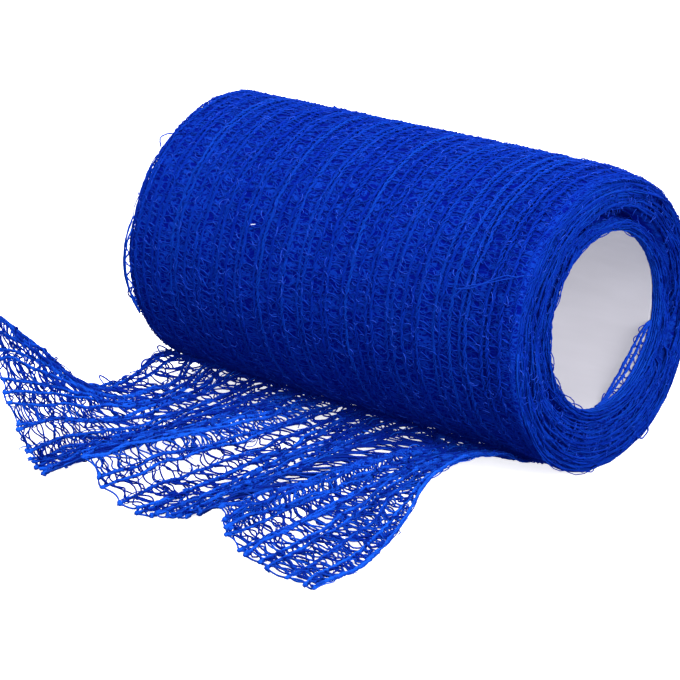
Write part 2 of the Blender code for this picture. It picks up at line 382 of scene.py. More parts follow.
bpy.ops.mesh.primitive_cylinder_add(vertices=128, radius=CORE_BORE + CORE_WALL,
                                    depth=2.0 * CORE_HALF, location=(0.0, 0.0, AXIS_HEIGHT),
                                    rotation=(0.0, math.pi / 2.0, 0.0))
core_tube = bpy.context.object
core_tube.name = "core_tube"
bpy.ops.object.transform_apply(location=True, rotation=True, scale=True)
bpy.context.tool_settings.mesh_select_mode = (False, False, True)
for item in (*core_tube.data.vertices, *core_tube.data.edges):
    item.select = False
for face in core_tube.data.polygons:
    face.select = abs(face.normal.x) > 0.9
bpy.ops.object.mode_set(mode="EDIT")
bpy.ops.mesh.inset(thickness=CORE_WALL)
bpy.ops.mesh.bridge_edge_loops()
bpy.ops.object.mode_set(mode="OBJECT")
rounded = core_tube.modifiers.new("rims", "BEVEL")
rounded.width = 0.25 * MM
rounded.segments = 3
rounded.limit_method = "ANGLE"
rounded.angle_limit = math.radians(50.0)
bpy.ops.object.modifier_apply(modifier=rounded.name)
bpy.ops.object.shade_smooth_by_angle(angle=math.radians(40.0))
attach(core_tube, "root")
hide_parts("core")
report(core_tube)

# %% [markdown]
# The plastic is a cool white with a faint satin gloss. Real tubes of this kind show
# slight marks of the extruder: long soft streaks and one hair-fine seam that runs
# round in a slow spiral. Both are drawn from the tube's own coordinates. A pale glow
# stands for the bright studio light that a bore of this depth gathers.

# %% Tube finish
SEAM_LEAD = 62.0 * MM        # the seam moves this far along the tube in one turn
SEAM_START = 0.27            # both as shares of a turn
SEAM_WIDTH = 0.004


def stretched(place, share):
    """The same place with its x made smaller, so that noise on it runs out long."""
    return node(place.tree, "ShaderNodeMapping", {}, {"Vector": place, "Scale": (share, 1.0, 1.0)})


def tube_finish():
    finish, shader, place = new_finish("tube_white")
    x, y, z = place.parts()
    around = x.math("ARCTAN2", z - AXIS_HEIGHT, y) / FULL_TURN
    lead = x.math("FRACT", x / SEAM_LEAD + around + SEAM_START)
    seam = 1.0 - (lead - 0.5).absolute().within(0.0, SEAM_WIDTH)
    streaks = noise(stretched(place, 0.15), 2.4 * MM, 3.0)
    tone = (streaks * 0.5 + noise(place, 14.0 * MM) * 0.5 - seam * 0.45).within(0.0, 0.9)
    fill(shader, {"Base Color": tone.mix(colour(141, 139, 145), colour(159, 157, 163)),
                  "Roughness": 0.38 + streaks * 0.16,
                  "Normal": bump(streaks - seam * 0.8, 0.25, 0.05 * MM),
                  "Emission Color": (0.9, 0.9, 1.0, 1.0), "Emission Strength": 0.27})
    return finish


core_tube.data.materials.clear()
core_tube.data.materials.append(tube_finish())
print("tube finish made")

# %% [markdown]
# ## The ends of the roll
# The turns don't line up: each lies a little in or out, some part from their
# neighbours and leave a dark groove, and the outermost are drawn in over the shoulder.
# One table says, ring by ring from the bore outwards, how deep the end face lies. We
# need that depth at any radius and angle, both for the body and for the yarns on it.

# %% Depth of the end faces
# Each ring, in mm: radius, inset, how much that wanders round the roll, depth of the groove.
VISIBLE_END = (
    (17.5, 1.3, 0.0, 0.0), (18.1, 0.5, 0.1, 0.0), (19.1, 0.3, 0.2, 0.0), (19.7, 0.8, 0.3, 0.4),
    (20.0, 1.3, 0.3, 5.4), (21.0, 1.3, 0.3, 5.6), (21.8, 0.7, 0.4, 0.2), (23.4, 0.2, 0.5, 0.0),
    (24.6, 0.7, 0.5, 0.0), (25.8, 0.4, 0.5, 0.0), (26.9, 0.9, 0.5, 0.0), (28.0, 1.0, 0.6, 0.0),
    (28.7, 2.3, 0.7, 0.0), (29.2, 4.4, 0.7, 0.0), (29.5, 7.2, 0.7, 0.0))
HIDDEN_END = (
    (17.5, 1.3, 0.0, 0.0), (18.2, 0.5, 0.1, 0.0), (19.8, 0.3, 0.3, 0.0), (21.4, 0.9, 0.4, 0.0),
    (23.2, 0.4, 0.5, 0.0), (25.0, 0.9, 0.5, 0.0), (26.8, 0.5, 0.6, 0.0), (28.2, 0.3, 0.6, 0.0),
    (29.2, -0.3, 0.6, 0.0), (29.6, 0.8, 0.6, 0.0))
WANDER_WAVES = ((2.0, 1.7, 0.6), (3.0, 2.9, 0.36))   # waves a turn, phase step, share
TILT = 0.8 * MM              # the visible end stands out more at its lower far side
TILT_AT = math.radians(-35.0)
TUCK = 1.3 * MM              # the hidden end's outer turns are drawn in at the top
TUCK_AT = math.radians(120.0)
TUCK_RADIUS = 27.0 * MM
GROOVE_FROM = math.radians(-32.0)
GROOVE_TO = math.radians(100.0)
GROOVE_FADE = math.radians(22.0)
GROOVE_SHIFT = 1.6 * MM      # the groove moves outwards towards its lower end
GROOVE_SHIFT_FROM = math.radians(20.0)
GROOVE_SHIFT_SPAN = math.radians(50.0)


# %% Depth at any radius and angle
def tilt(angle):
    """How far the visible end stands out at one angle."""
    return TILT * np.cos(angle - TILT_AT)


def tuck(angle):
    """How far the hidden end's outer turns are drawn in at one angle."""
    return TUCK * np.maximum(np.cos(angle - TUCK_AT), 0.0) ** 2


def end_depth(visible, radius, angle):
    """How deep an end face lies inside the roll's end plane, at each radius and angle."""
    angle = (angle + math.pi) % FULL_TURN - math.pi
    opened = soft((angle - GROOVE_FROM) / GROOVE_FADE + 0.5)
    opened = opened * soft((GROOVE_TO - angle) / GROOVE_FADE + 0.5)
    low = soft((GROOVE_SHIFT_FROM - angle) / GROOVE_SHIFT_SPAN)
    rings = []
    for ring, (row_radius, inset, wander, groove) in enumerate(VISIBLE_END if visible else HIDDEN_END):
        depth = inset * MM + groove * MM * opened
        for waves, phase, share in WANDER_WAVES:
            depth = depth + wander * MM * share * np.sin(waves * angle + phase * ring)
        if visible:
            depth = depth - tilt(angle)
        elif row_radius * MM > TUCK_RADIUS:
            depth = depth + tuck(angle)
        shift = GROOVE_SHIFT * low * opened if groove > 0.0 else 0.0
        rings.append((row_radius * MM + shift, depth))
    result = rings[0][1] + 0.0 * radius
    for (inner, depth), (outer, next_depth) in zip(rings, rings[1:]):
        result = result + (next_depth - depth) * np.clip((radius - inner) / (outer - inner), 0.0, 1.0)
    return result


middle_depth = float(end_depth(True, 20.8 * MM, 0.5))
print("groove depth at its middle:", round(middle_depth / MM, 2), "mm")

# %% [markdown]
# The wound cloth is soft. At both ends the outermost turn sinks over a rounded
# shoulder, and below the bore the last turns of the visible end hang down a little
# fuller than a true circle, which also fills the shoulder there.

# %% The soft shoulder
SHOULDER_INSET = np.array([0.6, 1.0, 2.3, 4.4, 7.2, 14.0]) * MM
SHOULDER_DROP = np.array([1.9, 1.6, 0.9, 0.4, 0.1, 0.0]) * MM
HIDDEN_INSET = (-0.3 * MM, 0.8 * MM)
HIDDEN_DROP = (0.4 * MM, 0.0)
FULL_AT = math.radians(-95.0)
FULL_SHARE = 0.95            # how much of the shoulder's drop is filled at that angle
FULL_REACH = 1.8 * MM        # how much further out the last turns of the end face lie
FULL_FROM = 20.0 * MM
FULL_TO = 27.6 * MM


def hanging(angle):
    """1 at the front below the bore, where the soft turns hang down, and 0 above."""
    return np.maximum(np.cos(angle - FULL_AT), 0.0)


def fuller(radius, angle):
    """How much further out a turn of the visible end lies, low down at the front."""
    return FULL_REACH * soft((radius - FULL_FROM) / (FULL_TO - FULL_FROM)) * hanging(angle)


def shoulder(x, angle):
    """How far the outermost turn has sunk near the ends, at each place along the roll."""
    drop = np.interp(ROLL_HALF + tilt(angle) - x, SHOULDER_INSET, SHOULDER_DROP)
    left = np.interp(ROLL_HALF + x - tuck(angle), HIDDEN_INSET, HIDDEN_DROP)
    return drop * (1.0 - FULL_SHARE * hanging(angle)) + left


print("shoulder's drop 2 mm from the end (mm):", round(float(shoulder(48.0 * MM, 2.0)) / MM, 2))

# %% [markdown]
# ## The wound body
# Under the two outer turns nobody can follow single yarns any more: the turns below
# merge into a dark, soft, ribbed mass. It is one turned body, a little smaller than
# the roll, so that yarns can lie on it. We lay out its outline as a closed loop of
# points, spin it round the axis, merge the seam and push the end faces in and out.

# %% Outline of the body
BODY_BELOW = 0.95 * MM       # the body lies this far under the roll's skin
FACE_BELOW = 0.8 * MM        # and this far behind its end faces
LIP_BELOW = 0.35 * MM        # but less far at the rims, within LIP_TO and beyond RIM_FROM
LIP_RADIUS = 17.75 * MM
LIP_TO = 19.0 * MM
RIM_FROM = 26.5 * MM
HIDDEN_RIM_FROM = 27.0 * MM
HIDDEN_SMALLER = 0.3 * MM    # the hidden end's rings lie this much further in
SKIN_AT = (46.0, 30.0, 10.0, -10.0, -30.0, -46.5)   # rings under the skin, in mm along the roll
RIM_AT = -49.3 * MM
TUBE_PLAY = 0.15 * MM        # between the body and the tube


def body_outline():
    """The closed outline of the body's half section, as (x, radius), and what each point is."""
    outline = []
    for row_radius, inset, _, _ in VISIBLE_END[1:12]:
        outline.append((ROLL_HALF - inset * MM - FACE_BELOW, row_radius * MM, "visible"))
    for x in SKIN_AT:
        outline.append((x * MM, ROLL_RADIUS - BODY_BELOW, "skin"))
    outline.append((RIM_AT, ROLL_RADIUS - BODY_BELOW, "rim"))
    for row_radius, inset, _, _ in reversed(HIDDEN_END[1:8]):
        outline.append((-ROLL_HALF + inset * MM + FACE_BELOW, row_radius * MM - HIDDEN_SMALLER, "hidden"))
    shelf = CORE_HALF + TUBE_PLAY
    cover = CORE_BORE + CORE_WALL + TUBE_PLAY
    for x, row_radius in ((-shelf, LIP_RADIUS), (-shelf, cover), (shelf, cover), (shelf, LIP_RADIUS)):
        outline.append((x, row_radius, "inside"))
    return outline


outline = body_outline()
print("outline of", len(outline), "points")

# %% Spin it
bpy.ops.mesh.primitive_circle_add(vertices=len(outline), radius=0.01)
wound_body = bpy.context.object
wound_body.name = "wound_body"
for vert, (x, row_radius, _) in zip(wound_body.data.vertices, outline):
    vert.co = (x, row_radius, 0.0)
bpy.ops.object.mode_set(mode="EDIT")
bpy.ops.mesh.select_all(action="SELECT")
bpy.ops.mesh.spin(steps=144, angle=FULL_TURN, center=(0.0, 0.0, 0.0), axis=(1.0, 0.0, 0.0))
bpy.ops.mesh.select_all(action="SELECT")
bpy.ops.mesh.remove_doubles(threshold=0.00002)
bpy.ops.mesh.normals_make_consistent(inside=False)
bpy.ops.object.mode_set(mode="OBJECT")
print("spun to", len(wound_body.data.vertices), "points")

# %% Push its ends in and out
kinds = {(round(x * 1e6), round(r * 1e6)): kind for x, r, kind in outline}
for vert in wound_body.data.vertices:
    radius = math.hypot(vert.co.y, vert.co.z)
    angle = math.atan2(vert.co.z, vert.co.y)
    kind = kinds[(round(vert.co.x * 1e6), round(radius * 1e6))]
    grown = 1.0
    if kind == "visible":
        below = LIP_BELOW if radius < LIP_TO or radius > RIM_FROM else FACE_BELOW
        vert.co.x = ROLL_HALF - float(end_depth(True, radius, angle)) - below
        grown = 1.0 + float(fuller(radius, angle)) / radius
    elif kind == "hidden":
        below = LIP_BELOW if radius > HIDDEN_RIM_FROM else FACE_BELOW
        vert.co.x = float(end_depth(False, radius, angle)) + below - ROLL_HALF
    elif kind == "rim":
        vert.co.x += float(tuck(angle))
    elif kind == "skin":
        grown = 1.0 - float(shoulder(np.array(vert.co.x), angle)) / radius
    vert.co.y *= grown
    vert.co.z *= grown
    vert.co.z += AXIS_HEIGHT
wound_body.data.shade_smooth()
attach(wound_body, "root")
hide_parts("roll")
report(wound_body)

# %% [markdown]
# Its finish repeats what lies above it, deeper and darker: short curly strokes of yarn
# across cells that are painted dark, as shade. Its blues are darker than the yarns', a
# painted shade of the turns below. On the end faces rings drawn by radius read as the
# edges of the turns. Where no light should reach, in the bore and deep in the groove,
# it is painted dark as shade.

# %% Body finish
# Each pair is where a part of the finish sets in and where it is full.
FACE_AT = (46.6 * MM, 47.4 * MM)       # end faces, by the distance from the roll's middle
OPEN_RADIUS = (22.4 * MM, 23.0 * MM)   # light reaches the body outside this radius
OPEN_AT = (45.0 * MM, 47.6 * MM)       # and at the end faces
# GROOVE_IN, GROOVE_OUT and GROOVE_AT bound the painted shade in the visible end's groove.
GROOVE_IN = (19.4 * MM, 20.2 * MM)
GROOVE_OUT = (21.2 * MM, 21.9 * MM)
GROOVE_AT = (40.0 * MM, 44.0 * MM)
# The dark end of the body: its dark cells and its painted shade.
DEEP_BLUE = colour(0, 10, 108)
BODY_BLUE = colour(8, 50, 156)


def strokes(place, size):
    """Thin curly lines: the places where a cloudy noise passes through its middle value."""
    return 1.0 - (noise(place, size, 1.0) - 0.5).absolute().within(0.012, 0.05)


def body_finish():
    finish, shader, place = new_finish("wound_blue")
    x, y, z = place.parts()
    z = z - AXIS_HEIGHT
    radius = (y * y + z * z) ** 0.5
    far_out = x.absolute()
    waver = noise(place, 5.0 * MM) - 0.5
    edges = ((radius / TURN_PITCH + waver * 0.9) * FULL_TURN).sine() * 0.5 + 0.5
    drawn = stretched(place, 0.4)
    curls = strokes(drawn, 1.3 * MM).larger(strokes(drawn, 0.9 * MM) * 0.8)
    curls = curls.larger(strokes(place, 1.7 * MM) * 0.7)
    grain = noise(place, 0.4 * MM, 3.0)
    # Dark blotches of painted shade, as in hollows.
    hollow_shade = noise(place, 1.7 * MM, 1.0).within(0.3, 0.55)
    height = (curls * 0.75 + grain * 0.3) * (hollow_shade * 0.6 + 0.4) + edges * far_out.within(*FACE_AT) * 0.35
    # Painted shade: darkest where no light reaches, in the bore, and in the groove.
    unshaded = radius.within(*OPEN_RADIUS).larger(far_out.within(*OPEN_AT))
    groove = radius.within(*GROOVE_IN) * (1.0 - radius.within(*GROOVE_OUT))
    height = height * unshaded * (1.0 - groove * x.within(*GROOVE_AT))
    fill(shader, {"Base Color": height.within(0.05, 0.9).mix(DEEP_BLUE, BODY_BLUE),
                  "Roughness": 0.7 + grain * 0.25, "Normal": bump(height, 0.6, 0.35 * MM), **MATTE_AND_GLOW})
    return finish


wound_body.data.materials.clear()
wound_body.data.materials.append(body_finish())
print("body finish made")

# %% [markdown]
# ## The folds of the loose end
# The free end has come off underneath the roll and lies on the table in soft folds:
# two crests, three troughs and a corner on the left that curls up. Each row of this
# table is one rib that runs down a crest or a trough. A smooth curve through the rows
# gives every other rib its place, so the cloth has the folds that the solid has.

# %% The fold table
# Share of the width, x at the roll and at the cut (mm), the angle at which the cloth leaves
# the roll (degrees), how far out the cut lies (mm), and heights (mm) at the stations below.
FOLD_COLUMNS = ("share", "roll_x", "cut_x", "leaves", "cut_out",
                "h20", "h32", "h44", "h56", "h68", "h80")
FOLDS = (
    (0.00, -49.0, -48.0, 38.0, 71.0, 6.2, 3.0, 4.8, 15.9, 26.7, 33.4),    # left selvedge
    (0.14, -36.5, -40.5, 34.0, 74.2, 3.8, 2.4, 3.6, 9.0, 14.2, 17.6),     # curled strip
    (0.20, -31.0, -36.0, 31.0, 74.8, 3.4, 2.4, 2.4, 4.2, 6.8, 8.4),
    (0.26, -25.5, -30.5, 29.0, 74.4, 3.2, 2.6, 1.8, 0.8, 0.3, 0.0),       # first trough
    (0.34, -18.0, -21.5, 28.0, 76.1, 3.2, 3.2, 3.0, 3.0, 3.2, 3.6),
    (0.42, -10.0, -12.0, 28.0, 78.6, 3.2, 4.0, 5.2, 6.6, 7.8, 8.4),       # first crest
    (0.47, -5.3, -8.3, 28.0, 79.6, 2.8, 2.6, 2.8, 3.0, 3.2, 3.6),
    (0.55, 2.5, 0.0, 27.0, 76.4, 2.4, 1.6, 1.0, 0.4, 0.0, 0.0),           # second trough
    (0.70, 15.6, 11.4, 27.0, 71.0, 2.6, 3.0, 2.6, 2.0, 1.9, 1.9),
    (0.79, 26.5, 21.5, 27.0, 78.4, 3.4, 5.6, 6.4, 6.4, 6.8, 7.2),         # second crest
    (0.83, 29.5, 24.5, 27.0, 80.2, 3.4, 4.6, 4.6, 3.8, 3.6, 3.8),
    (0.91, 36.4, 33.0, 26.0, 80.5, 4.2, 6.0, 4.8, 2.0, 0.8, 0.4),         # third trough
    (1.00, 40.6, 50.2, 24.0, 84.0, 5.0, 8.2, 7.6, 2.4, 0.2, 1.6))         # right selvedge
HEIGHT_STATIONS = (20.0, 32.0, 44.0, 56.0, 68.0, 80.0)   # mm out from the roll's middle


def through(stations, values, at):
    """A smooth curve through the values at their stations, read at every place."""
    stations = np.asarray(stations, float)
    at = np.asarray(at, float)
    values = np.asarray(values, float)
    if values.ndim == 1:
        values = values.reshape(-1, *([1] * at.ndim)) * np.ones(at.shape)
    last = len(stations) - 1
    low = np.maximum(np.arange(last + 1) - 1, 0)
    high = np.minimum(np.arange(last + 1) + 1, last)
    spans = (stations[high] - stations[low]).reshape(-1, *([1] * at.ndim))
    slopes = (values[high] - values[low]) / spans
    k = np.clip(np.searchsorted(stations, at) - 1, 0, last - 1)
    span = stations[k + 1] - stations[k]
    s = (at - stations[k]) / span

    def read(table, place):
        return np.take_along_axis(table, place[None], 0)[0]

    return ((1.0 + 2.0 * s) * (1.0 - s) ** 2 * read(values, k)
            + span * s * (1.0 - s) ** 2 * read(slopes, k)
            + s * s * (3.0 - 2.0 * s) * read(values, k + 1)
            + span * s * s * (s - 1.0) * read(slopes, k + 1))


def fold(name, share):
    """One column of the fold table, read across the width."""
    place = FOLD_COLUMNS.index(name)
    return through([row[0] for row in FOLDS], [row[place] for row in FOLDS], share)


print("height of the first crest, 56 mm out:", float(fold("h56", 0.42)), "mm")

# %% [markdown]
# The cloth leaves the roll at its skin, comes down to the heights of the table within
# a few millimetres, and runs out to the cut. A net drawn lengthwise grows narrower, so
# the right selvedge is drawn in part-way out. The way up at each point comes from two
# small steps, one across and one along the cloth.

# %% The laid surface
LEAVING_SPAN = 8.0 * MM      # how far out the cloth has come down to the table's heights
LEAVING_REACH = ROLL_RADIUS + 0.35 * MM
NECK = 4.0 * MM              # how far the right selvedge is drawn in
NECK_FROM = 0.7              # the share of the width from which it is drawn in
NECK_PEAK = 0.66             # and the share of the length where it is most
HALF_CLOTH = 0.5 * MM
SLOPE_STEP = 0.002


def under_side(share, along):
    """Points of the cloth's under side: share across the width, along from 0 to 1."""
    leaves = np.radians(fold("leaves", share))
    start_out = LEAVING_REACH * np.sin(leaves)
    start_height = AXIS_HEIGHT - LEAVING_REACH * np.cos(leaves)
    out = start_out + (fold("cut_out", share) * MM - start_out) * along
    heights = np.stack([fold("h%d" % station, share) for station in HEIGHT_STATIONS])
    height = through(HEIGHT_STATIONS, heights, out / MM) * MM
    settled = soft((out - start_out) / LEAVING_SPAN)
    height = start_height * (1.0 - settled) + height * settled
    roll_x = fold("roll_x", share)
    x = (roll_x + (fold("cut_x", share) - roll_x) * soft(along)) * MM
    necking = np.sin(math.pi * np.minimum(0.5 * along / NECK_PEAK, 1.0))
    x = x - NECK * soft((share - NECK_FROM) / (1.0 - NECK_FROM)) * necking
    return np.stack([x, -out, np.maximum(height, 0.0)], -1)


def laid(share, along):
    """Points midway through the cloth, and the cloth's upward normals there."""
    share = np.clip(share, 0.0, 1.0)
    along = np.clip(along, 0.0, 1.0)
    right = under_side(np.minimum(share + SLOPE_STEP, 1.0), along)
    left = under_side(np.maximum(share - SLOPE_STEP, 0.0), along)
    outer = under_side(share, np.minimum(along + SLOPE_STEP, 1.0))
    inner = under_side(share, np.maximum(along - SLOPE_STEP, 0.0))
    facing = unit(np.cross(outer - inner, right - left))
    return under_side(share, along) + facing * HALF_CLOTH, facing


middle, facing = laid(np.array([0.5]), np.array([0.5]))
print("middle of the loose end (mm):", np.round(middle[0] / MM, 1), "facing", np.round(facing[0], 2))

# %% [markdown]
# ## Ribs
# A rib is a few strands that twist round each other, as a chain of stitches looks from
# a step away. We take a centre line and swing each strand round it. The helpers work
# on any set of centre lines, so the same ones make the roll, its ends and the loose
# end. Small ones first: they keep yarns above the table, read a line part-way between
# two of its points, and draw a tone for each yarn.

# %% Lift, read and shade centre lines
FADE_SPAN = 0.45             # share of a line over which the roll's shade fades


def above(paths, height):
    """Lift what would lie lower than this height above the table."""
    paths[..., 2] = np.maximum(paths[..., 2], height)
    return paths


def lengths(lines):
    """How long each line is."""
    return np.linalg.norm(np.diff(lines, axis=1), axis=2).sum(1)


def read_line(lines, yarn, place):
    """Points of the given yarns at fractional places along them."""
    place = np.clip(place, 0.0, lines.shape[1] - 1.001)
    low = place.astype(int)
    part = (place - low)[..., None]
    yarn = np.broadcast_to(yarn, low.shape)
    return lines[yarn, low] * (1.0 - part) + lines[yarn, low + 1] * part


def tones(middle, spread, yarns):
    """One random tone for each yarn."""
    return np.clip(middle + chance.normal(0.0, spread, (yarns, 1)), 0.0, 1.0)


def faded(tone, fade):
    """The tones, taken down at the start of the lines, where the roll shades them."""
    return tone - fade * (1.0 - soft(np.linspace(0.0, 1.0, tone.shape[1]) / FADE_SPAN))


# %% Twist strands to ribs
SLUB = (2.3 * MM, 0.11)      # a strand's thickness drifts: every so far, by this share
SWING = (3.1 * MM, 0.3)      # and so does its way out from the rib's middle


def add_ribs(skein, lines, facing, step, scale=1.0, shade=0.5, fade=0.0,
             strands=STRANDS, apart=STRAND_APART):
    """Strands twisted round each other along every centre line."""
    yarns, stops, _ = lines.shape
    across = np.cross(unit(np.gradient(lines, axis=1)), facing)
    places = np.arange(stops) * step
    turn = chance.uniform(0.0, FULL_TURN, (yarns, 1)) + FULL_TURN * np.arange(stops) * step / STRAND_PITCH
    slub = 1.0 + drift(yarns, places, *SLUB)
    tone = faded(shade + chance.normal(0.0, 0.16, (yarns, 1)) + 0.0 * turn, fade)
    for strand in range(strands):
        place = turn + FULL_TURN * strand / strands + chance.uniform(-0.5, 0.5, (yarns, 1))
        swung = apart * scale * (1.0 + drift(yarns, places, *SWING))
        swing = np.cos(place)[..., None] * facing + np.sin(place)[..., None] * across
        skein.add(lines + swing * swung[..., None], STRAND * scale * slub, 3, facing,
                  np.clip(tone + chance.normal(0.0, 0.1), -1.0, 1.0))


# %% [markdown]
# ## Rungs
# Between two neighbouring ribs one thin yarn runs in a zigzag: it crosses, follows the
# rib for one stitch and crosses back. It is longer than it need be, so each crossing
# bows to one side, winds a little and lifts, most where the ribs lie far apart.

# %% Lay yarns in between ribs
OPEN_GAP = 2.4 * MM          # yarns bow freely between ribs that lie this far apart


def add_rungs(skein, lines, facing, step, every=RUNG_EVERY, thickness=WEFT, grounded=False, shade=0.5,
              fade=0.0, bow=0.6 * MM, lift=0.25 * MM, curl=0.3 * MM, stops=5):
    """The laid-in yarns, one zigzag for each two neighbouring ribs."""
    gaps = len(lines) - 1
    count = int((lines.shape[1] - 1) * step / every)
    part = np.linspace(0.0, 1.0, stops)
    arch = np.sin(math.pi * part)
    shape = (gaps, count, 1)
    along = (np.arange(count)[:, None] + 0.5 + chance.uniform(-0.38, 0.38, shape)) * every
    along = along + chance.normal(0.0, 0.3, shape) * every * (part - 0.5)
    across = np.where(np.arange(count)[:, None] % 2 == 1, 1.0 - part, part) + np.zeros(shape)
    turned = chance.uniform(0.0, FULL_TURN, shape) + chance.normal(0.0, 4.0, shape) * part
    size = curl * chance.uniform(0.3, 1.2, shape) * arch
    swing = np.where(chance.uniform(0.0, 1.0, shape) < 0.6, arch, 0.7 * np.sin(FULL_TURN * part))
    swing = chance.choice([-1.0, 1.0], shape) * chance.uniform(0.4, 1.2, shape) * bow * swing
    rise = chance.uniform(-0.5, 1.0, shape) * lift * arch
    along, across, onwards, aside, rise = (
        a.reshape(gaps, -1)
        for a in (along, across, swing + size * np.cos(turned), size * np.sin(turned), rise))
    yarn = np.arange(gaps)[:, None]
    near = read_line(lines, yarn, along / step)
    far = read_line(lines, yarn + 1, along / step)
    up = read_line(facing, yarn, along / step)
    ahead = read_line(unit(np.gradient(lines, axis=1)), yarn, along / step)
    beside = unit(np.cross(up, ahead))
    room = np.clip(np.linalg.norm(far - near, axis=-1, keepdims=True) / OPEN_GAP, 0.4, 1.3)
    paths = (near + (far - near) * across[..., None] + up * rise[..., None]
             + (ahead * onwards[..., None] + beside * aside[..., None]) * room)
    if grounded:
        above(paths, thickness)
    tone = shade + chance.normal(0.0, 0.15, (gaps, 1)) + 0.0 * across
    skein.add(paths, thickness, 3, up + 0.001, np.clip(faded(tone, fade), 0.0, 1.0))


# %% [markdown]
# ## Curls and loops
# A loose end of yarn curls up, so we start part of a circle at a random point of a rib.
# At a selvedge the yarn turns back instead: there it follows the rib and swings
# outwards in loops, each a little narrower at its foot.

# %% Curl loose ends and loop selvedges
LOOP_STOPS = 0.75            # share of a loop yarn's points that lie in its loops
LOOP_BULB = 0.16             # how much narrower a loop is at its foot


def add_curls(skein, roots, facing, count, length, turning, thickness, rise, stops=4):
    """Short curled ends of yarn that start at random roots and bend as part of a circle."""
    pick = chance.integers(0, len(roots), count)
    up = facing[pick]
    heading = unit(np.cross(up, chance.normal(size=(count, 3))))
    beside = np.cross(up, heading)
    size = length * chance.uniform(0.5, 1.5, (count, 1))
    bend = turning * chance.choice([-1.0, 1.0], (count, 1)) * chance.uniform(0.5, 1.4, (count, 1))
    part = np.linspace(0.0, 1.0, stops)
    forward = size * np.sin(bend * part) / bend
    sideways = size * (1.0 - np.cos(bend * part)) / bend
    lifted = size * rise * chance.uniform(0.2, 1.0, (count, 1)) * np.sin(math.pi * 0.8 * part)
    paths = roots[pick][:, None] + (forward[..., None] * heading[:, None]
                                    + sideways[..., None] * beside[:, None]
                                    + lifted[..., None] * up[:, None])
    tone = chance.uniform(0.0, 1.0, (count, 1))
    skein.add(above(paths, thickness), thickness, 3, up[:, None] + 0.3 * heading[:, None], tone)


def add_scallops(skein, lines, outward, step, every, reach, thickness=WEFT, stops=8, wide=1.0):
    """A thin yarn along each line that swings outwards in one loop after another."""
    loops = int((lines.shape[1] - 1) * step / every)
    turns = np.arange(loops * stops + 1) / stops
    busy = 1.0 if wide == 1.0 else LOOP_STOPS      # this share of the points makes the loop
    inside = np.clip((turns % 1.0) / busy, 0.0, 1.0)
    straight = np.clip((turns % 1.0 - busy) / (1.001 - busy), 0.0, 1.0)
    part = wide * (inside - LOOP_BULB * np.sin(FULL_TURN * inside)) + (1.0 - wide) * straight
    along = np.maximum(np.floor(turns) + part, 0.0) * every
    sizes = np.abs(chance.normal(0.7, 0.3, (len(lines), loops + 1)))
    swing = (0.5 - 0.5 * np.cos(FULL_TURN * inside)) * sizes[:, turns.astype(int)] * reach
    yarn = np.arange(len(lines))[:, None]
    along = np.broadcast_to(along / step, (len(lines), len(turns)))
    flat = unit(np.cross(np.gradient(lines, axis=1), outward))
    paths = read_line(lines, yarn, along) + read_line(outward, yarn, along) * swing[..., None]
    skein.add(paths, thickness, 4, read_line(flat, yarn, along), tones(0.4, 0.2, len(lines)))


# %% [markdown]
# ## The outer turns
# The same ribs that lie on the table go on under the roll, up its far side and over
# the top. We wind them twice round, sinking by one pitch a turn. Every rib starts
# where the loose end leaves the roll, spreads back to its own place within a sixth of
# a turn, and drifts a little from side to side. The second turn lies under the first
# and shows through it. The outermost ribs have four strands, further apart than the
# others, because the photograph shows them as soft, broad bands.

# %% Centre lines of the two outer turns
TURN_STEP = 1.25 * MM
TURNS = 2
SPREAD_ANGLE = math.radians(55.0)
SETTLE_ANGLE = math.radians(25.0)
SKIN_BELOW = 0.34 * MM       # the outermost rib's middle under the roll's skin
SIDE_DRIFTS = ((WARPS, 9.0, 0.1), (1, 30.0, 0.15), (WARPS, 2.7, 0.12))   # yarns, every and size in mm
SINKING = (7.0 * MM, 0.06 * MM)
SIDE_GAPS = (0.5 * MM, 1.0 * MM)   # between the outermost ribs and the roll's ends
UNDER_RADIUS = 0.28 * MM     # a rib that shows through another is one plain tube

stops = int(TURNS * FULL_TURN * ROLL_RADIUS / TURN_STEP)
wound_angle = np.linspace(0.0, TURNS * FULL_TURN, stops)
turn_step = wound_angle[1] * ROLL_RADIUS


def round_axis(x, radius, angle):
    """Points at places along the roll, radii and angles, and the way out from its axis."""
    out = np.stack([0.0 * angle, np.cos(angle), np.sin(angle)], -1)
    points = out * np.asarray(radius)[..., None]
    points[..., 0] = x
    points[..., 2] += AXIS_HEIGHT
    return points, out


